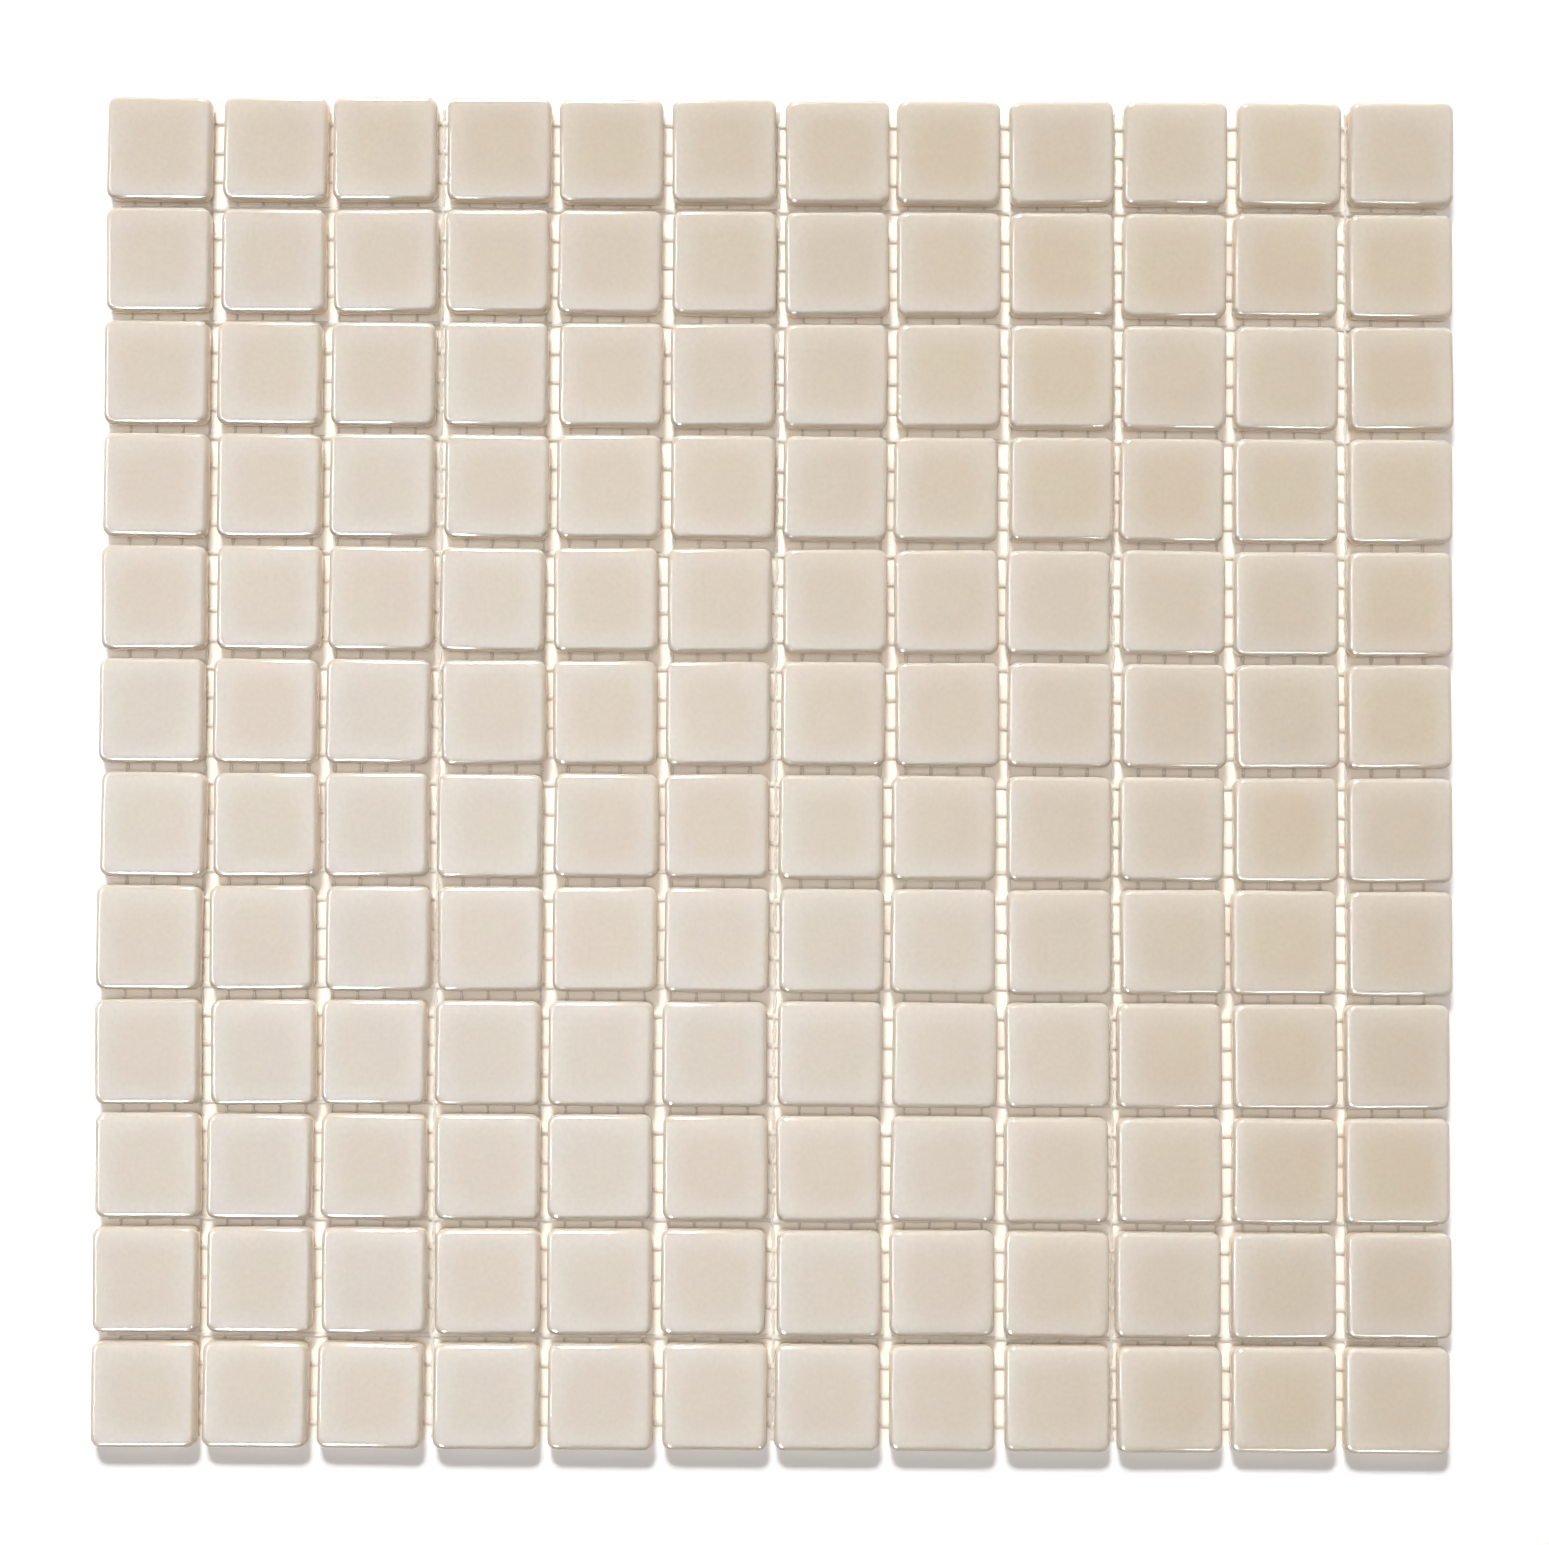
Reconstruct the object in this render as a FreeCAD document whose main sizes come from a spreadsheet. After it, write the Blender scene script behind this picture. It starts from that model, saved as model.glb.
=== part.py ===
"""Mosaic tile sheet: square pressed-glass tiles held in a grid by a glass-fibre mesh on their backs.

The sheet lies on its back in the XY plane, face up. The origin is under its middle, X runs along the
rows, Y up the columns, and row 01 is the one furthest along +Y. Lengths are in millimetres.
"""

import FreeCAD, Part
import math
import os

import Sketcher
from FreeCAD import Placement, Rotation, Vector

SIZES = [
    ("tile_side", 23.0, "side of one tile"),
    ("tile_height", 4.0, "height of one tile"),
    ("joint_width", 2.0, "open joint between neighbouring tiles"),
    ("tile_columns", 12, "tiles in a row"),
    ("tile_rows", 12, "rows in the sheet"),
    ("corner_cut", 1.1, "cut of the four upright corners"),
    ("top_bevel", 0.8, "soft upper edge"),
    ("back_bevel", 0.5, "bevel round the back, which lets the adhesive grip"),
    ("side_drift", 0.40, "how far a tile may sit to one side of its place in the row"),
    ("row_drift", 0.12, "how far a tile may sit above or below its row"),
    ("tile_turn", 0.6, "how far a tile may be turned, in degrees"),
    ("row_lean", 0.08, "how far each row sits to the left of the row above it"),
    ("warp_pitch", 5.75, "spacing of the mesh strands that run up the sheet"),
    ("weft_pitch", 6.4, "spacing of the mesh strands that run across the sheet"),
    ("warp_width", 0.9, "width of a strand that runs up the sheet"),
    ("weft_width", 1.1, "width of a strand that runs across the sheet"),
    ("mesh_thickness", 0.4, "thickness of the mesh"),
    ("warp_recess", 0.05, "how far the upward strands lie below the faces of the crossing ones"),
    ("mesh_inset", 1.75, "least distance from the tiles' outer edge to the mesh's cut edge"),
    ("panels_across", 3, "stretches of mesh side by side"),
    ("panels_down", 2, "stretches of mesh one above the other"),
]

doc = FreeCAD.newDocument("mosaic_tile_sheet")


def make_sheet():
    """The driving dimensions, one alias a row."""
    sheet = doc.addObject("Spreadsheet::Sheet", "Sizes")
    for line, (alias, value, note) in enumerate(SIZES, start=1):
        sheet.set(f"A{line}", note)
        sheet.set(f"B{line}", str(value))
        sheet.setAlias(f"B{line}", alias)
    doc.recompute()
    return sheet


sizes = make_sheet()

TILE_PITCH = "(Sizes.tile_side + Sizes.joint_width)"


def origin_feature(body, role):
    """A plane or axis of a body's own origin."""
    return next(item for item in body.Origin.OriginFeatures if item.Role == role)


def rectangle_sketch(body, name, left, bottom, width, length):
    """A sketched rectangle on the body's XY plane, with its corner and sides bound to the sheet."""
    sketch = body.newObject("Sketcher::SketchObject", name)
    sketch.AttachmentSupport = [(origin_feature(body, "XY_Plane"), "")]
    sketch.MapMode = "FlatFace"
    corners = [Vector(1, 1, 0), Vector(2, 1, 0), Vector(2, 2, 0), Vector(1, 2, 0)]
    for here, there in zip(corners, corners[1:] + corners[:1]):
        sketch.addGeometry(Part.LineSegment(here, there), False)
    for side in range(4):
        sketch.addConstraint(Sketcher.Constraint("Coincident", side, 2, (side + 1) % 4, 1))
    sketch.addConstraint(Sketcher.Constraint("Horizontal", 0))
    sketch.addConstraint(Sketcher.Constraint("Vertical", 1))
    sketch.addConstraint(Sketcher.Constraint("Horizontal", 2))
    sketch.addConstraint(Sketcher.Constraint("Vertical", 3))
    for kind, where, formula in (
        ("DistanceX", (-1, 1, 0, 1), left),
        ("DistanceY", (-1, 1, 0, 1), bottom),
        ("DistanceX", (0, 1, 0, 2), width),
        ("DistanceY", (1, 1, 1, 2), length),
    ):
        index = sketch.addConstraint(Sketcher.Constraint(kind, *where, 1.0))
        sketch.setExpression(f"Constraints[{index}]", formula)
    return sketch


def pad(body, name, sketch, height):
    """A pad whose height is bound to the sheet."""
    feature = body.newObject("PartDesign::Pad", name)
    feature.Profile = sketch
    feature.setExpression("Length", height)
    doc.recompute()
    return feature


def chamfer(body, name, base, is_chosen, size):
    """A chamfer on the edges of the last feature that is_chosen picks."""
    names = [f"Edge{i}" for i, edge in enumerate(base.Shape.Edges, start=1) if is_chosen(edge)]
    feature = body.newObject("PartDesign::Chamfer", name)
    feature.Base = (base, names)
    feature.setExpression("Size", size)
    doc.recompute()
    return feature


def is_level_at(edge, height):
    """True for an edge that lies flat at a height."""
    return all(abs(vertex.Z - height) < 1e-6 for vertex in edge.Vertexes)


def is_upright(edge):
    """True for an edge that stands straight up."""
    foot, head = edge.Vertexes
    return abs(foot.X - head.X) + abs(foot.Y - head.Y) < 1e-6


def make_tile():
    """One pressed tile: a square block with cut corners, a soft upper edge and a bevelled back."""
    body = doc.addObject("PartDesign::Body", "Tile")
    half = "-Sizes.tile_side / 2"
    outline = rectangle_sketch(body, "TileOutline", half, half, "Sizes.tile_side", "Sizes.tile_side")
    block = pad(body, "TileBlock", outline, "Sizes.tile_height")
    corners = chamfer(body, "TileCorners", block, is_upright, "Sizes.corner_cut")
    height = sizes.tile_height
    top = chamfer(body, "TileTopEdge", corners, lambda edge: is_level_at(edge, height), "Sizes.top_bevel")
    chamfer(body, "TileBackEdge", top, lambda edge: is_level_at(edge, 0.0), "Sizes.back_bevel")
    return body


def strands_in_panel(tiles, panels, pitch):
    """How many strands one stretch of mesh takes, so that the mesh stays inside the tiles' outer edge."""
    field = tiles * (sizes.tile_side + sizes.joint_width) - sizes.joint_width
    room = field - 2 * sizes.mesh_inset
    return int(room / (panels * pitch))


def bar(name, number, along_x, along_y, height):
    """One bar of the mesh, with its three sides bound to the sheet."""
    box = doc.addObject("Part::Box", f"{name}_{number + 1:02d}")
    box.setExpression("Length", along_x)
    box.setExpression("Width", along_y)
    box.setExpression("Height", height)
    return box


def make_mesh_panel():
    """One stretch of mesh: bars both ways, fused where they cross, with cut ends all round."""
    warps = strands_in_panel(sizes.tile_columns, sizes.panels_across, sizes.warp_pitch)
    wefts = strands_in_panel(sizes.tile_rows, sizes.panels_down, sizes.weft_pitch)
    panel_width = f"{warps} * Sizes.warp_pitch"
    panel_length = f"{wefts} * Sizes.weft_pitch"
    bars = []
    for number in range(warps):
        height = "Sizes.mesh_thickness - 2 * Sizes.warp_recess"
        warp = bar("Warp", number, "Sizes.warp_width", panel_length, height)
        side = f"({number} + 0.5) * Sizes.warp_pitch - Sizes.warp_width / 2"
        place(warp, side, "0", "Sizes.warp_recess")
        bars.append(warp)
    for number in range(wefts):
        weft = bar("Weft", number, panel_width, "Sizes.weft_width", "Sizes.mesh_thickness")
        side = f"({number} + 0.5) * Sizes.weft_pitch - Sizes.weft_width / 2"
        place(weft, "0", side, "0")
        bars.append(weft)
    panel = doc.addObject("Part::MultiFuse", "MeshPanel")
    panel.Shapes = bars
    return panel, panel_width, panel_length


def place(item, along, up, lift, turn="0"):
    """Bind an object's place, and its turn about Z in degrees, to the sheet."""
    item.Placement = Placement(Vector(0, 0, 0), Rotation(Vector(0, 0, 1), 0))
    item.setExpression("Placement.Base.x", along)
    item.setExpression("Placement.Base.y", up)
    item.setExpression("Placement.Base.z", lift)
    item.setExpression("Placement.Rotation.Angle", f"({turn}) * 1 deg")


def wander(column, row, kind):
    """A steady uneven share from -1 to 1 for one tile, as hand-laid tiles have."""
    wave = math.sin(12.9898 * column + 78.233 * row + 37.719 * kind) * 43758.5453
    return round(2 * (wave - math.floor(wave)) - 1, 3)


def make_row(tile, row):
    """One row of tiles, each a little off its place, as the tiles of such a sheet are."""
    links = []
    for column in range(int(sizes.tile_columns)):
        link = doc.addObject("App::Link", f"Tile_{row + 1:02d}_{column + 1:02d}")
        link.LinkedObject = tile
        from_middle = f"{column} - (Sizes.tile_columns - 1) / 2"
        place(
            link,
            f"({from_middle}) * {TILE_PITCH} + {wander(column, row, 0)} * Sizes.side_drift",
            f"{wander(column, row, 1)} * Sizes.row_drift",
            "0",
            f"{wander(column, row, 2)} * Sizes.tile_turn",
        )
        links.append(link)
    group = doc.addObject("Part::Compound", f"TileRow_{row + 1:02d}")
    group.Links = links
    group.Label = f"tile_row_{row + 1:02d}"
    above_middle = f"((Sizes.tile_rows - 1) / 2 - {row})"
    place(group, f"{above_middle} * Sizes.row_lean", f"{above_middle} * {TILE_PITCH}", "Sizes.mesh_thickness")
    return group


def make_mesh(panel, panel_width, panel_length):
    """The whole mesh, as stretches that meet end to end, centred under the tiles."""
    stretches = []
    for down in range(int(sizes.panels_down)):
        for across in range(int(sizes.panels_across)):
            number = len(stretches) + 1
            stretch = doc.addObject("Part::Compound", f"MeshStretch_{number}")
            stretch.Links = [panel]
            stretch.Label = f"backing_mesh_{number}"
            place(
                stretch,
                f"({across} - Sizes.panels_across / 2) * {panel_width}",
                f"(Sizes.panels_down / 2 - {down + 1}) * {panel_length}",
                "0",
            )
            stretches.append(stretch)
    return stretches


def check(parts):
    """Stop if any object failed or any sub-part has no sound solid."""
    for item in doc.Objects:
        failed = {"Invalid", "Error"} & set(item.State)
        if failed:
            raise RuntimeError(f"{item.Label} is {failed}")
    for part in parts:
        if part.Shape.isNull() or not part.Shape.isValid() or not part.Shape.Solids:
            raise RuntimeError(f"{part.Label} has no sound shape")


def main():
    tile = make_tile()
    parts = [make_row(tile, row) for row in range(int(sizes.tile_rows))]
    parts += make_mesh(*make_mesh_panel())
    doc.recompute()
    check(parts)
    os.makedirs("parts", exist_ok=True)
    for part in parts:
        part.Shape.exportStep(f"parts/{part.Label}.step")
        box = part.Shape.BoundBox
        print(
            f"{part.Label}: {len(part.Shape.Solids)} solids, {len(part.Shape.Faces)} faces, "
            f"{part.Shape.Volume:.1f} mm3, x {box.XMin:.2f} {box.XMax:.2f}, "
            f"y {box.YMin:.2f} {box.YMax:.2f}, z {box.ZMin:.2f} {box.ZMax:.2f}"
        )


main()
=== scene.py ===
# Looks of the mosaic tile sheet: cream pressed-glass tiles on a woven glass-fibre mesh.
import cmath
import math

import bpy
from mathutils import Matrix, Vector


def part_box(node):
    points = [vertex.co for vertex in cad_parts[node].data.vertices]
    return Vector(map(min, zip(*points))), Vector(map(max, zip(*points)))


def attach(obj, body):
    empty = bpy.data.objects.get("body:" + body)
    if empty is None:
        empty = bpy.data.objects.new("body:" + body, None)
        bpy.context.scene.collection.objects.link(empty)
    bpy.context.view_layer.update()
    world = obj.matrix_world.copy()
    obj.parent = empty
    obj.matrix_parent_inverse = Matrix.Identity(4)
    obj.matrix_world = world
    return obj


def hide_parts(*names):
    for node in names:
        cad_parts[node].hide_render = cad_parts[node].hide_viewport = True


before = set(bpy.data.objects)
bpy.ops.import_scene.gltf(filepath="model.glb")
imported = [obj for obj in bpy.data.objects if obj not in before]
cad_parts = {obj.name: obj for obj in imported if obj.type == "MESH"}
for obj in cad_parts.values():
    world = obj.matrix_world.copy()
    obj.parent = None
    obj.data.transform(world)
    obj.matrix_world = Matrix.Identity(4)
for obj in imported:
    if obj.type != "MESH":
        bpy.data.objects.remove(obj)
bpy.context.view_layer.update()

mm = 0.001
hair = 0.001 * mm   # lengths that differ by less count as equal
straight = 0.99     # upward or downward share of the normal of a level face
rowNames = sorted(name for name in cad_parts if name.startswith("tile_row_"))
meshNames = sorted(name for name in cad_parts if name.startswith("backing_mesh_"))


# Small helpers for selecting, editing and finishing

def deselectAll():
    bpy.ops.object.select_all(action="DESELECT")


def selectOnly(piece):
    deselectAll()
    piece.select_set(True)
    bpy.context.view_layer.objects.active = piece


def startEdit(piece, mode):
    selectOnly(piece)
    bpy.ops.object.mode_set(mode="EDIT")
    bpy.ops.mesh.select_mode(type=mode)


def pick(piece, kind, isChosen):
    # selection flags are only read and set outside edit mode
    bpy.ops.mesh.select_all(action="DESELECT")
    bpy.ops.object.mode_set(mode="OBJECT")
    mesh = piece.data
    for item in getattr(mesh, kind):
        item.select = isChosen(mesh, item)
    bpy.ops.object.mode_set(mode="EDIT")


def endEdit():
    bpy.ops.object.mode_set(mode="OBJECT")


def joinAll(pieces, name):
    deselectAll()
    for piece in pieces:
        piece.select_set(True)
    bpy.context.view_layer.objects.active = pieces[0]
    bpy.ops.object.join()
    pieces[0].name = name
    pieces[0].data.name = name
    return pieces[0]


def addWave(piece, name, direction, reach, size, group=""):
    # clouds from 0 to 1 about their middle, which push points by up to reach either way
    texture = bpy.data.textures.new(name, "CLOUDS")
    texture.noise_scale = size
    texture.noise_depth = 1
    wave = piece.modifiers.new(name, "DISPLACE")
    wave.texture = texture
    wave.texture_coords = "GLOBAL"
    wave.direction = direction
    wave.strength = 2 * reach
    wave.mid_level = 0.5
    wave.vertex_group = group


def keepInside(piece, nodeName):
    # a wave may not carry a point past the box of the node that the piece stands for
    low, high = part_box(nodeName)
    for vertex in piece.data.vertices:
        vertex.co = [min(max(value, least), most) for value, least, most in zip(vertex.co, low, high)]


def finishPiece(piece, nodeName, smoothAngle, material):
    selectOnly(piece)
    for modifier in list(piece.modifiers):
        bpy.ops.object.modifier_apply(modifier=modifier.name)
    keepInside(piece, nodeName)
    bpy.ops.object.shade_smooth_by_angle(angle=smoothAngle)
    piece.data.materials.clear()
    piece.data.materials.append(material)


# One tile, modelled on its back at the origin and copied to every place

tile = {
    "side": 23.0 * mm,
    "height": 4.0 * mm,
    "cornerRound": 2.1 * mm,    # seen from above
    "cornerSteps": 6,
    "backRound": 0.5 * mm,
    "roundWidth": 1.1 * mm,     # the rounding between side and face
    "roundHeight": 1.2 * mm,
    "roundSteps": 8,
    "crown": 0.10 * mm,         # how much the face swells towards its middle
    "crownRings": (2.2 * mm, 4.6 * mm, 8.0 * mm),   # how far in from the sides each lies
    "grooves": 5,               # pressed into the back
    "grooveWidth": 2.2 * mm,
    "grooveDepth": 0.25 * mm,
    "grooveMargin": 1.6 * mm,
}


def isLevelEdge(height):
    def test(mesh, edge):
        return all(abs(mesh.vertices[v].co.z - height) < hair for v in edge.vertices)
    return test


def isUprightEdge(mesh, edge):
    a, b = (mesh.vertices[v].co for v in edge.vertices)
    return (a - b).xy.length < hair


def makeTile():
    deselectAll()
    bpy.ops.mesh.primitive_cube_add(size=1, location=(0, 0, 0))
    piece = bpy.context.object
    piece.name = "tileMaster"
    startEdit(piece, "EDGE")
    bpy.ops.mesh.select_all(action="SELECT")
    bpy.ops.transform.resize(value=(tile["side"], tile["side"], tile["height"]))
    bpy.ops.transform.translate(value=(0, 0, tile["height"] / 2))
    pick(piece, "edges", isUprightEdge)
    bpy.ops.mesh.bevel(offset=tile["cornerRound"], segments=tile["cornerSteps"], affect="EDGES")
    pick(piece, "edges", isLevelEdge(0))
    bpy.ops.mesh.bevel(offset=tile["backRound"], segments=1, affect="EDGES")
    cutGrooves(piece)
    raiseFace(piece)
    endEdit()
    markTilePlaces(piece)
    return piece


def cutGrooves(piece):
    spacing = (tile["side"] - 2 * tile["grooveMargin"]) / tile["grooves"]
    middles = [spacing * (i - (tile["grooves"] - 1) / 2) for i in range(tile["grooves"])]

    def isBack(mesh, face):
        return face.normal.z < -straight and face.center.z < hair

    def isGroove(mesh, face):
        toMiddle = min(abs(face.center.x - middle) for middle in middles)
        return isBack(mesh, face) and toMiddle < tile["grooveWidth"] / 2

    bpy.ops.mesh.select_mode(type="FACE")
    for middle in middles:
        for side in (-1, 1):
            pick(piece, "polygons", isBack)
            place = (middle + side * tile["grooveWidth"] / 2, 0, 0)
            bpy.ops.mesh.bisect(plane_co=place, plane_no=(1, 0, 0))
    pick(piece, "polygons", isGroove)
    bpy.ops.mesh.inset(thickness=tile["grooveDepth"], use_individual=True)
    bpy.ops.transform.translate(value=(0, 0, tile["grooveDepth"]))


def raiseFace(piece):
    # the sides stop short, and the face rises from them in rings
    half = tile["side"] / 2
    bpy.ops.mesh.select_mode(type="FACE")
    pick(piece, "polygons", lambda mesh, face: face.normal.z > straight)
    bpy.ops.transform.translate(value=(0, 0, -tile["roundHeight"] - tile["crown"]))
    angles = [math.radians(90 * step / tile["roundSteps"]) for step in range(1, tile["roundSteps"] + 1)]
    rings = [(tile["roundWidth"] * (1 - math.cos(a)), tile["roundHeight"] * math.sin(a)) for a in angles]
    rings += [(inward, tile["roundHeight"]) for inward in tile["crownRings"]]
    size, level = 1.0, 0.0
    for inward, rounding in rings:
        nextSize = 1 - inward / half
        nextLevel = rounding + tile["crown"] * (1 - nextSize ** 2)
        bpy.ops.mesh.extrude_region_move()
        bpy.ops.transform.resize(value=(nextSize / size, nextSize / size, 1))
        bpy.ops.transform.translate(value=(0, 0, nextLevel - level))
        size, level = nextSize, nextLevel
    bpy.ops.mesh.poke()


def markTilePlaces(piece):
    # where a point is on its tile, from 0 to 1 both ways, for the material
    mesh = piece.data
    for old in list(mesh.uv_layers):
        mesh.uv_layers.remove(old)
    places = mesh.uv_layers.new(name="tilePlace")
    for loop in mesh.loops:
        point = mesh.vertices[loop.vertex_index].co
        places.data[loop.index].uv = (point.x / tile["side"] + 0.5, point.y / tile["side"] + 0.5)


# Each row: the tile copied to the seats of the row's solids, then made a little uneven

row = {
    "tiles": 12,
    "joint": 2.0 * mm,
    "edgeWave": 0.13 * mm,      # wander of the sides
    "edgeWaveSize": (18 * mm, 23.4 * mm),   # of the wander along X and along Y
    "faceWave": 0.05 * mm,      # wander of the face
    "faceWaveSize": 11 * mm,
    "faceWaveFrom": 1.5 * mm,   # height above the back
    "smoothAngle": math.radians(38),
}

# makes steady uneven numbers
scatter = {
    "steps": (12.9898, 78.233, 37.719),
    "spread": 43758.5453,
    "lightKind": 3,
    "warmthKind": 4,
}


def findSeats(node):
    # the middle, level and turn of each solid in a row
    low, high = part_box(node.name)
    pitch = (high[0] - low[0] + row["joint"]) / row["tiles"]
    groups = [[] for _ in range(row["tiles"])]
    for point in (vertex.co for vertex in node.data.vertices):
        number = int((point.x - low[0] + row["joint"] / 2) / pitch)
        groups[min(number, row["tiles"] - 1)].append(point)
    seats = []
    for group in groups:
        middle = sum(group, Vector()) / len(group)
        arms = [complex(point.x - middle.x, point.y - middle.y) for point in group]
        # the fourth powers of a square's four arms point one way, whichever corner each is
        turn = cmath.phase(-sum(arm ** 4 for arm in arms)) / 4
        seats.append((Vector((middle.x, middle.y, low[2])), turn))
    return seats


def share(*numbers):
    # a steady uneven number from 0 to 1
    angle = sum(number * step for number, step in zip(numbers, scatter["steps"]))
    wave = math.sin(angle) * scatter["spread"]
    return wave - math.floor(wave)


def addTone(mesh, column, rowNumber):
    # how light and how warm the tile is, each from 0 to 1, as red and green for the material
    light = share(column, rowNumber, scatter["lightKind"])
    warmth = share(column, rowNumber, scatter["warmthKind"])
    tone = mesh.attributes.new("tone", "FLOAT_COLOR", "POINT")
    tone.data.foreach_set("color", [light, warmth, 0, 1] * len(mesh.vertices))


def makeRow(master, name, rowNumber):
    copies = []
    for column, (seat, turn) in enumerate(findSeats(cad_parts[name])):
        mesh = master.data.copy()
        addTone(mesh, column, rowNumber)
        mesh.transform(Matrix.Translation(seat) @ Matrix.Rotation(turn, 4, "Z"))
        copy = bpy.data.objects.new("copy", mesh)
        bpy.context.collection.objects.link(copy)
        copies.append(copy)
    piece = joinAll(copies, name.replace("tile_row", "glass_row"))
    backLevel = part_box(name)[0][2]
    upperLevel = backLevel + row["faceWaveFrom"]
    upper = piece.vertex_groups.new(name="upper")
    upper.add([v.index for v in piece.data.vertices if v.co.z > upperLevel], 1.0, "REPLACE")
    addWave(piece, "sideWaveX", "X", row["edgeWave"], row["edgeWaveSize"][0])
    addWave(piece, "sideWaveY", "Y", row["edgeWave"], row["edgeWaveSize"][1])
    addWave(piece, "faceWave", "Z", row["faceWave"], row["faceWaveSize"], "upper")
    finishPiece(piece, name, row["smoothAngle"], glassMaterial)
    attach(piece, "root")
    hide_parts(name)


# The mesh: one crossing of a flat weft and a twisted pair of warps, repeated over each stretch

weave = {
    "thickness": 0.4 * mm,
    "weftPitch": 6.4 * mm,
    "weftHalfWidth": 0.50 * mm,
    "weftHalfThickness": 0.11 * mm,
    "weftRock": math.radians(16),   # how far a weft tips to either side
    "weftSteps": 4,
    "warpPitch": 5.75 * mm,
    "warpHalfWidth": 0.20 * mm,
    "warpHalfThickness": 0.075 * mm,
    "warpSpread": 0.26 * mm,        # of each warp of a pair from their middle line
    "warpSteps": 6,
    "mergeWithin": 0.02 * mm,       # joins each crossing to the next
    "wander": 0.35 * mm,
    "wanderSize": (16 * mm, 6.4 * mm),  # of the wander along X and along Y
    "smoothAngle": math.radians(70),
}


def makeYarn(kind, points, tilts):
    curve = bpy.data.curves.new(kind, "CURVE")
    curve.dimensions = "3D"
    curve.twist_mode = "Z_UP"
    curve.bevel_depth = weave[kind + "HalfThickness"]
    curve.extrude = weave[kind + "HalfWidth"] - weave[kind + "HalfThickness"]
    curve.bevel_resolution = 0
    spline = curve.splines.new("POLY")
    spline.points.add(len(points) - 1)
    for place, point, tilt in zip(spline.points, points, tilts):
        place.co = (*point, 1)
        place.tilt = tilt
    yarn = bpy.data.objects.new(kind, curve)
    bpy.context.collection.objects.link(yarn)
    selectOnly(yarn)
    bpy.ops.object.convert(target="MESH")
    return bpy.context.object


def makeCrossing():
    width, length = weave["warpPitch"], weave["weftPitch"]
    middle = weave["thickness"] / 2
    flat = math.radians(90)     # the tilt of a yarn that lies on its wide side
    steps = weave["weftSteps"]
    points = [Vector((width * i / steps, length / 2, middle)) for i in range(steps + 1)]
    tilts = [flat + weave["weftRock"] * math.sin(2 * math.pi * i / steps) for i in range(steps + 1)]
    yarns = [makeYarn("weft", points, tilts)]
    steps = weave["warpSteps"]
    rise = middle - weave["warpHalfThickness"]
    for side in (-1, 1):
        points = []
        for i in range(steps + 1):
            along = i / steps
            across = side * weave["warpSpread"] * math.cos(2 * math.pi * along)
            lift = side * rise * math.sin(math.pi * along) ** 2
            points.append(Vector((width / 2 + across, length * along, middle + lift)))
        yarns.append(makeYarn("warp", points, [flat] * (steps + 1)))
    return joinAll(yarns, "crossing")


def makeStretch(crossing, name):
    low, high = (Vector(corner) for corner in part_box(name))
    size = high - low
    piece = bpy.data.objects.new(name.replace("backing", "woven"), crossing.data.copy())
    bpy.context.collection.objects.link(piece)
    piece.data.transform(Matrix.Translation(low))
    for axis, pitch in ((0, weave["warpPitch"]), (1, weave["weftPitch"])):
        repeat = piece.modifiers.new("repeat", "ARRAY")
        repeat.count = round(size[axis] / pitch)
        repeat.use_relative_offset = False
        repeat.use_constant_offset = True
        repeat.constant_offset_displace = [pitch if i == axis else 0 for i in range(3)]
        repeat.use_merge_vertices = True
        repeat.merge_threshold = weave["mergeWithin"]
    addWave(piece, "strandWanderX", "X", weave["wander"], weave["wanderSize"][0])
    addWave(piece, "strandWanderY", "Y", weave["wander"], weave["wanderSize"][1])
    finishPiece(piece, name, weave["smoothAngle"], yarnMaterial)
    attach(piece, "root")
    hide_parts(name)


# Small helpers for materials: each input gets a value, or the output that feeds it

def addNode(tree, kind, inputs=None, **settings):
    node = tree.nodes.new(kind)
    for name, value in settings.items():
        setattr(node, name, value)
    for key, value in (inputs or {}).items():
        if isinstance(value, bpy.types.NodeSocket):
            tree.links.new(value, node.inputs[key])
        else:
            node.inputs[key].default_value = value
    return node


def addMath(tree, operation, *values):
    return addNode(tree, "ShaderNodeMath", dict(enumerate(values)), operation=operation).outputs[0]


def addRange(tree, value, fromRange, toRange=(0, 1)):
    inputs = {"Value": value}
    inputs["From Min"], inputs["From Max"] = fromRange
    inputs["To Min"], inputs["To Max"] = toRange
    node = addNode(tree, "ShaderNodeMapRange", inputs, interpolation_type="SMOOTHSTEP")
    return node.outputs["Result"]


def addMix(tree, factor, first, second):
    # the three sockets that a colour mix uses are its first, seventh and eighth
    colours = [(*value, 1) if isinstance(value, tuple) else value for value in (first, second)]
    inputs = {0: factor, 6: colours[0], 7: colours[1]}
    return addNode(tree, "ShaderNodeMix", inputs, data_type="RGBA").outputs[2]


def addNoise(tree, vector, scale, detail):
    inputs = {"Vector": vector, "Scale": scale, "Detail": detail}
    return addNode(tree, "ShaderNodeTexNoise", inputs).outputs["Fac"]


def splitUp(tree, vector):
    return addNode(tree, "ShaderNodeSeparateXYZ", {0: vector}).outputs


def newMaterial(name):
    material = bpy.data.materials.new(name)
    material.use_nodes = True
    tree = material.node_tree
    return material, tree, tree.nodes["Principled BSDF"]


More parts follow.
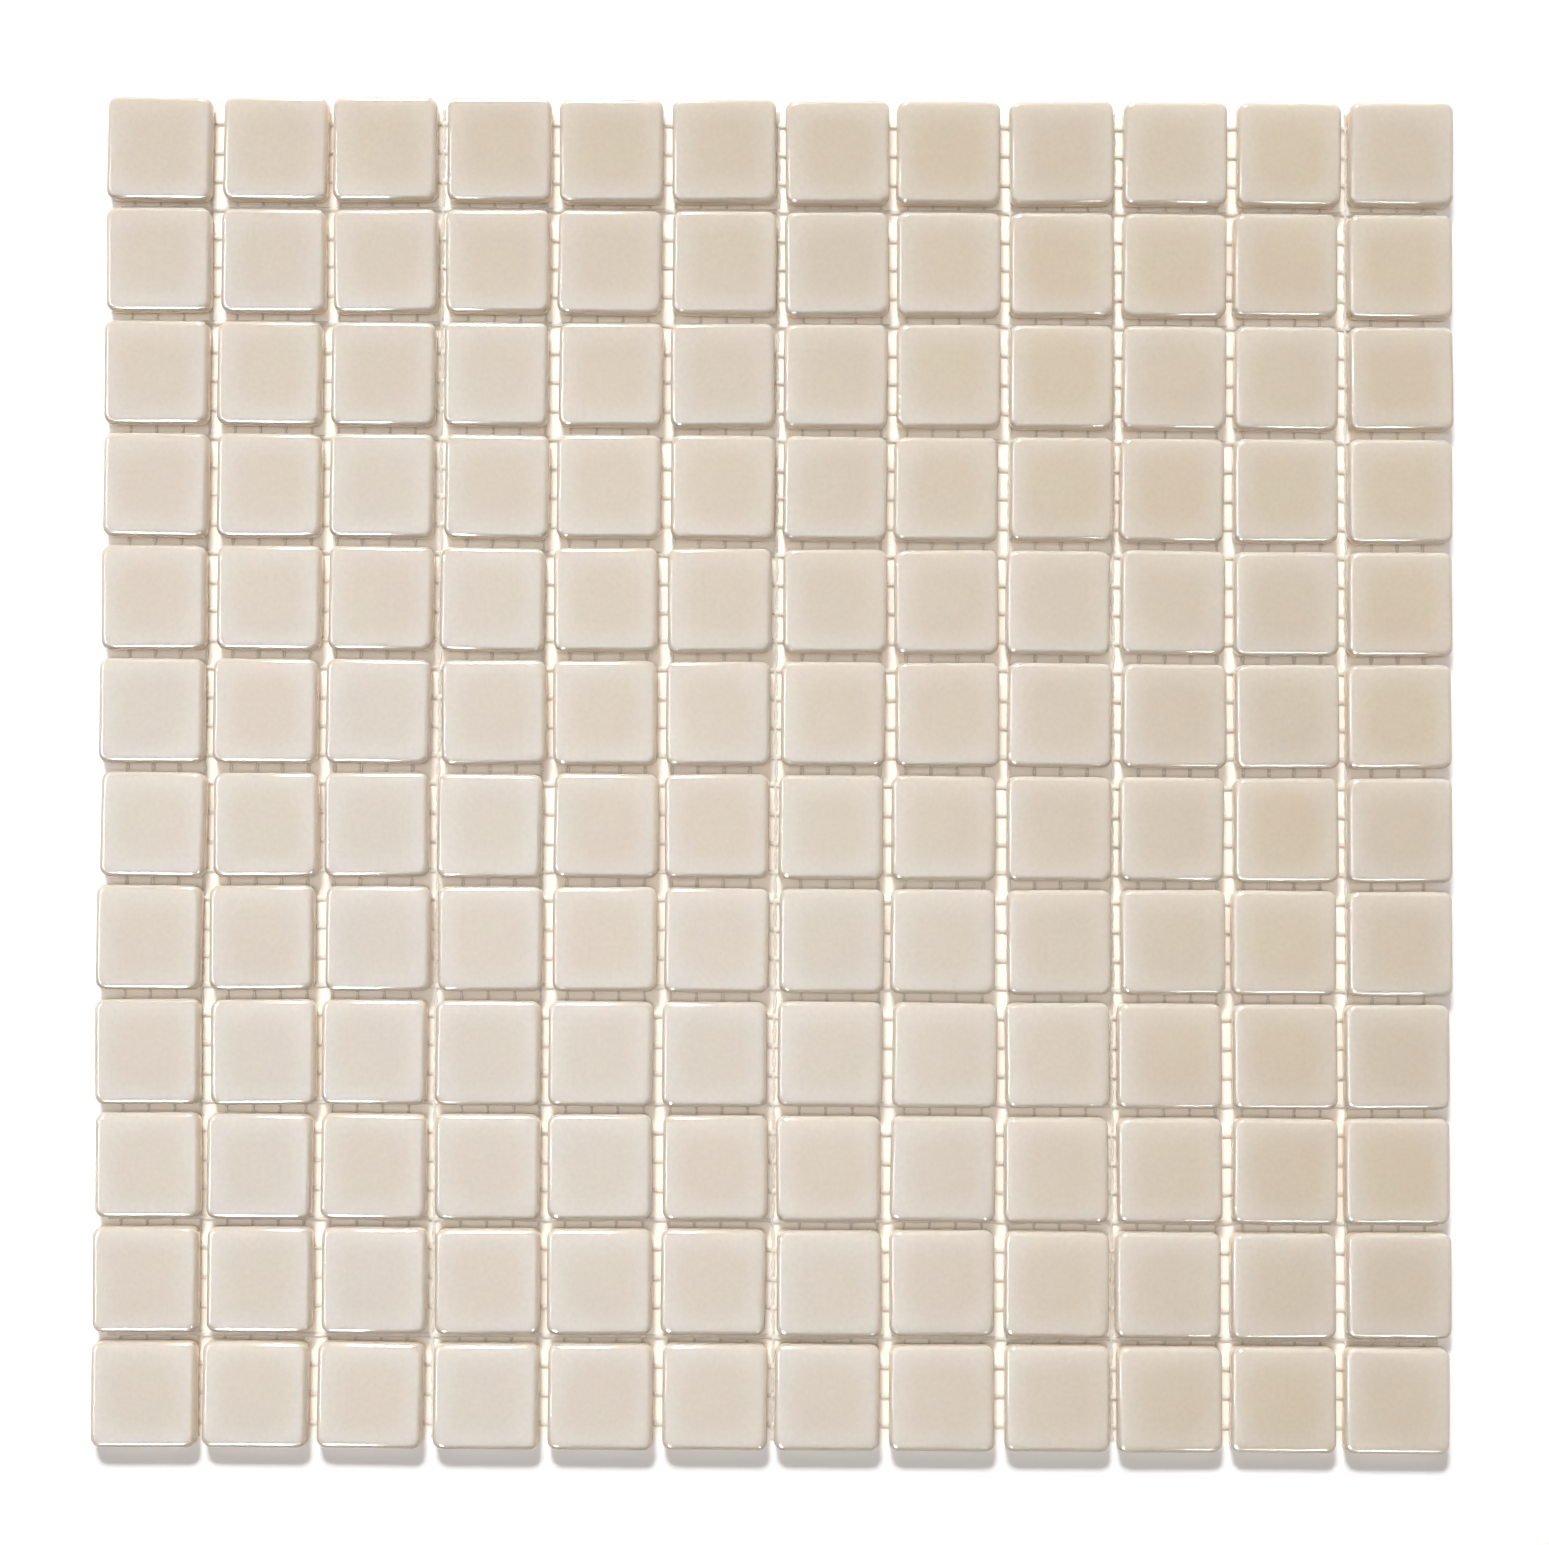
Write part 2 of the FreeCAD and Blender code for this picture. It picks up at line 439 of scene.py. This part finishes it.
def makeCloudBumps():
    # low bumps from a cloud pattern, in the glaze and in the yarn
    group = bpy.data.node_groups.new("cloud_bumps", "ShaderNodeTree")
    for name in ("Scale", "Detail", "Depth"):
        group.interface.new_socket(name, in_out="INPUT", socket_type="NodeSocketFloat")
    group.interface.new_socket("Cloud", in_out="OUTPUT", socket_type="NodeSocketFloat")
    group.interface.new_socket("Normal", in_out="OUTPUT", socket_type="NodeSocketVector")
    given = addNode(group, "NodeGroupInput").outputs
    place = addNode(group, "ShaderNodeTexCoord").outputs["Object"]
    cloud = addNoise(group, place, given["Scale"], given["Detail"])
    bump = addNode(group, "ShaderNodeBump", {"Distance": given["Depth"], "Height": cloud})
    addNode(group, "NodeGroupOutput", {"Cloud": cloud, "Normal": bump.outputs["Normal"]})
    return group


# The glass; a noise is given as its scale and detail, and a span as where it starts and ends

glass = {
    "middle": (0.608, 0.536, 0.424),
    "rim": (0.656, 0.602, 0.520),
    "rimSpan": (0.20, 0.52),        # from the middle of the tile, in tile sides
    "squareness": 3.2,              # of the rim's line, which 2 would make a circle
    "rimNoise": (70, 3),
    "rimShift": 0.16,               # how far the noise moves the rim's line, in tile sides
    "edge": (0.640, 0.586, 0.510),  # the rounding, painted light in place of the light the glass lets through its edges
    "edgeLightSpan": (0.75, 0.99),       # upward share of the normal from the rounding to the face
    "side": (0.94, 0.73, 0.46),     # painted warm glow low on the sides, for light passed through the glass into the joints
    "sideGlowSpan": (1.0 * mm, 3.0 * mm),   # height where the painted glow on the sides gives way to the colour of the face
    "light": (0.985, 1.0),          # from the darkest tile to the lightest
    "warmth": (0.94, 1.06),         # from the greyest tile to the warmest
    "tint": (0.494, 0.506),         # hue, where 0.5 is no change
    "tintNoise": (85, 2),
    "tintSpan": (0.3, 0.7),
    "speckle": (0.975, 1.025),
    "speckleNoise": (900, 4),
    "speckleSpan": (0.25, 0.75),
    "ripple": {"Scale": 220, "Detail": 1, "Depth": 0.03 * mm},
    "roughness": 0.07,
    "subsurface": 0.9,
    "radius": (1.0, 0.76, 0.55),
    "depth": 4.0 * mm,
}


def addFaceColour(tree):
    # by the distance from the middle of the tile, squarer than a circle
    place = splitUp(tree, addNode(tree, "ShaderNodeUVMap", uv_map="tilePlace").outputs["UV"])
    powers = []
    for axis in (0, 1):
        offset = addMath(tree, "ABSOLUTE", addMath(tree, "SUBTRACT", place[axis], 0.5))
        powers.append(addMath(tree, "POWER", offset, glass["squareness"]))
    distance = addMath(tree, "POWER", addMath(tree, "ADD", *powers), 1 / glass["squareness"])
    coords = addNode(tree, "ShaderNodeTexCoord").outputs
    cloud = addNoise(tree, coords["Object"], *glass["rimNoise"])
    shift = addMath(tree, "MULTIPLY", addMath(tree, "SUBTRACT", cloud, 0.5), glass["rimShift"])
    rim = addRange(tree, addMath(tree, "ADD", distance, shift), glass["rimSpan"])
    return addMix(tree, rim, glass["middle"], glass["rim"])


def addPaintedGlassLight(tree, flat):
    # painted light: the rounding gets a colour by its slope, and the sides a warm glow low down, both
    # for light let through the glass
    coords = addNode(tree, "ShaderNodeTexCoord").outputs
    # painted light on the rounding: a colour chosen by the slope of the normal stands in for light let
    # through the glass
    level = addRange(tree, splitUp(tree, coords["Normal"])["Z"], glass["edgeLightSpan"])
    face = addMix(tree, level, glass["edge"], flat)
    # painted light low on the sides: a warm glow, strongest at the foot, stands in for light passed
    # through the glass into the shaded joints
    upward = addRange(tree, splitUp(tree, coords["Object"])["Z"], glass["sideGlowSpan"])
    return addMix(tree, upward, glass["side"], face)


def addTileTone(tree, colour):
    # each tile is a little lighter or warmer than the next, and all are tinted and speckled
    place = addNode(tree, "ShaderNodeTexCoord").outputs["Object"]
    tone = addNode(tree, "ShaderNodeAttribute", attribute_name="tone").outputs["Color"]
    tones = addNode(tree, "ShaderNodeSeparateColor", {0: tone}).outputs
    light = addRange(tree, tones["Red"], (0, 1), glass["light"])
    warmth = addRange(tree, tones["Green"], (0, 1), glass["warmth"])
    speckle = addNoise(tree, place, *glass["speckleNoise"])
    grain = addRange(tree, speckle, glass["speckleSpan"], glass["speckle"])
    tint = addRange(tree, addNoise(tree, place, *glass["tintNoise"]), glass["tintSpan"], glass["tint"])
    value = addMath(tree, "MULTIPLY", light, grain)
    inputs = {"Hue": tint, "Saturation": warmth, "Value": value, "Color": colour}
    return addNode(tree, "ShaderNodeHueSaturation", inputs).outputs[0]


def makeGlassMaterial():
    material, tree, shader = newMaterial("cream_glass")
    colour = addTileTone(tree, addPaintedGlassLight(tree, addFaceColour(tree)))
    tree.links.new(colour, shader.inputs["Base Color"])
    ripple = addNode(tree, "ShaderNodeGroup", glass["ripple"], node_tree=cloudBumps)
    tree.links.new(ripple.outputs["Normal"], shader.inputs["Normal"])
    shader.inputs["Roughness"].default_value = glass["roughness"]
    shader.subsurface_method = "BURLEY"
    shader.inputs["Subsurface Weight"].default_value = glass["subsurface"]
    shader.inputs["Subsurface Radius"].default_value = glass["radius"]
    shader.inputs["Subsurface Scale"].default_value = glass["depth"]
    return material


# The yarn

yarnLook = {
    "colour": (0.70, 0.67, 0.62),
    "dull": (0.52, 0.48, 0.42),
    "fibres": {"Scale": 900, "Detail": 2, "Depth": 0.05 * mm},
    "roughness": 0.55,
}


def makeYarnMaterial():
    material, tree, shader = newMaterial("glass_fibre_yarn")
    fibres = addNode(tree, "ShaderNodeGroup", yarnLook["fibres"], node_tree=cloudBumps).outputs
    colour = addMix(tree, fibres["Cloud"], yarnLook["dull"], yarnLook["colour"])
    tree.links.new(colour, shader.inputs["Base Color"])
    tree.links.new(fibres["Normal"], shader.inputs["Normal"])
    shader.inputs["Roughness"].default_value = yarnLook["roughness"]
    return material


# Floor, light and camera

stage = {
    "floorSize": 0.9,
    "floorLevel": -0.1 * mm,
    "floorColour": (0.95, 0.95, 0.95),
    "floorSeen": (0.97, 0.98, 1.0),
    "floorPaintedShade": (0.90, 0.865, 0.81),  # painted shade, seen in the joints under the sheet
    "floorPaintedShadeSpan": (144 * mm, 149 * mm),     # from the middle to where the painted shade ends
    "floorRoughness": 0.9,
    "floorSheen": 0.1,
    "background": (1.0, 1.0, 1.0),
    "skyLight": 0.12,
    "overheadLight": 5.10,      # more of it straight above, which reaches down into the joints
    "lightColour": (1.0, 0.93, 0.88),
    "overheadMiddle": (0, 0, 1),
    "overheadFull": 6,          # degrees from its middle
    "overheadEnd": 20,
    "skyBright": 4.0,           # a pale patch overhead, to the left, which only the gloss shows
    "skyColour": (0.66, 0.79, 1.0),
    "skyMiddle": (-0.26, -0.12, 1.0),
    "skyFull": 3,               # degrees from its middle
    "skyEnd": 28,
}

# where each lamp stands, what it faces, its width and height, all in metres, then its watts,
# and whether it lights only the gloss, or all but the gloss
lamps = {
    "key": ((-0.86, 5.03, 4.10), (0, 0, 0), (1.65, 0.83), 440, False),
    "keyGlow": ((-0.40, 2.49, 2.03), (-0.40, 0, 0), (0.42, 0.80), 260, True),
    "front": ((-0.44, -1.10, 0.95), (-0.44, 0, 0), (0.28, 0.50), 80, True),
    "frontRight": ((0.41, -1.10, 0.95), (0.41, 0, 0), (0.21, 0.30), 14, True),
    "left": ((-0.80, 0.03, 0.85), (0, 0.03, 0), (0.84, 0.14), 18, True),
}

view = {
    "place": (-0.13 * mm, -17.67 * mm, 600 * mm),
    "turn": (1.65, 0.0, 0.31),  # degrees
    "lens": 62.9,
    "sensor": 36,
}


def makeFloor():
    deselectAll()
    bpy.ops.mesh.primitive_plane_add(size=stage["floorSize"], location=(0, 0, stage["floorLevel"]))
    floor = bpy.context.object
    floor.name = "floor"
    material, tree, shader = newMaterial("floor")
    # painted shade: the camera sees the floor under the sheet darker and warmer, as shade in the joints
    point = splitUp(tree, addNode(tree, "ShaderNodeTexCoord").outputs["Object"])
    outward = addMath(tree, "MAXIMUM", *(addMath(tree, "ABSOLUTE", point[axis]) for axis in ("X", "Y")))
    away = addRange(tree, outward, stage["floorPaintedShadeSpan"])
    toCamera = addMix(tree, away, stage["floorPaintedShade"], stage["floorSeen"])
    isSeen = addNode(tree, "ShaderNodeLightPath").outputs["Is Camera Ray"]
    colour = addMix(tree, isSeen, stage["floorColour"], toCamera)
    tree.links.new(colour, shader.inputs["Base Color"])
    shader.inputs["Roughness"].default_value = stage["floorRoughness"]
    shader.inputs["Specular IOR Level"].default_value = stage["floorSheen"]
    floor.data.materials.append(material)


def makeLamp(name, place, target, size, power, onlyGloss):
    data = bpy.data.lights.new(name, "AREA")
    data.energy = power
    data.shape = "RECTANGLE"
    data.size, data.size_y = size
    lamp = bpy.data.objects.new(name, data)
    lamp.visible_diffuse = not onlyGloss
    lamp.visible_glossy = onlyGloss
    lamp.location = place
    lamp.rotation_euler = (Vector(target) - Vector(place)).to_track_quat("-Z", "Y").to_euler()
    bpy.context.collection.objects.link(lamp)


def addPatch(tree, name):
    # 1 within so many degrees of the patch's middle, and 0 past its end
    direction = addNode(tree, "ShaderNodeTexCoord").outputs["Generated"]
    inputs = {0: direction, 1: Vector(stage[name + "Middle"]).normalized()}
    nearness = addNode(tree, "ShaderNodeVectorMath", inputs, operation="DOT_PRODUCT").outputs["Value"]
    ends = [math.cos(math.radians(stage[name + part])) for part in ("End", "Full")]
    return addRange(tree, nearness, ends)


def lit(colour, strength):
    return tuple(strength * value for value in colour)


def makeLight():
    world = bpy.data.worlds.new("studio")
    bpy.context.scene.world = world
    world.use_nodes = True
    tree = world.node_tree
    plain = lit(stage["lightColour"], stage["skyLight"])
    above = lit(stage["lightColour"], stage["overheadLight"])
    bright = lit(stage["skyColour"], stage["skyBright"])
    inDiffuse = addMix(tree, addPatch(tree, "overhead"), plain, above)
    inGloss = addMix(tree, addPatch(tree, "sky"), plain, bright)
    path = addNode(tree, "ShaderNodeLightPath").outputs
    sky = addMix(tree, path["Is Glossy Ray"], inDiffuse, inGloss)
    seen = addMix(tree, path["Is Camera Ray"], sky, stage["background"])
    tree.links.new(seen, tree.nodes["Background"].inputs["Color"])
    for name, settings in lamps.items():
        makeLamp(name, *settings)


def makeCamera():
    data = bpy.data.cameras.new("camera")
    data.lens = view["lens"]
    data.sensor_width = view["sensor"]
    camera = bpy.data.objects.new("camera", data)
    camera.location = view["place"]
    camera.rotation_euler = [math.radians(angle) for angle in view["turn"]]
    bpy.context.collection.objects.link(camera)
    bpy.context.scene.camera = camera


bpy.context.scene.view_settings.view_transform = "Standard"
cloudBumps = makeCloudBumps()
glassMaterial = makeGlassMaterial()
yarnMaterial = makeYarnMaterial()
print("glass and yarn mixed")
makeCamera()
makeLight()
makeFloor()
print("stage set:", len(lamps), "lamps")

tileMaster = makeTile()
print("tile modelled:", len(tileMaster.data.polygons), "faces")
for rowNumber, name in enumerate(rowNames):
    makeRow(tileMaster, name, rowNumber)
bpy.data.objects.remove(tileMaster)
print("rows laid:", len(rowNames))

crossing = makeCrossing()
print("crossing woven:", len(crossing.data.polygons), "faces")
for name in meshNames:
    makeStretch(crossing, name)
bpy.data.objects.remove(crossing)
print("mesh woven:", len(meshNames), "stretches")
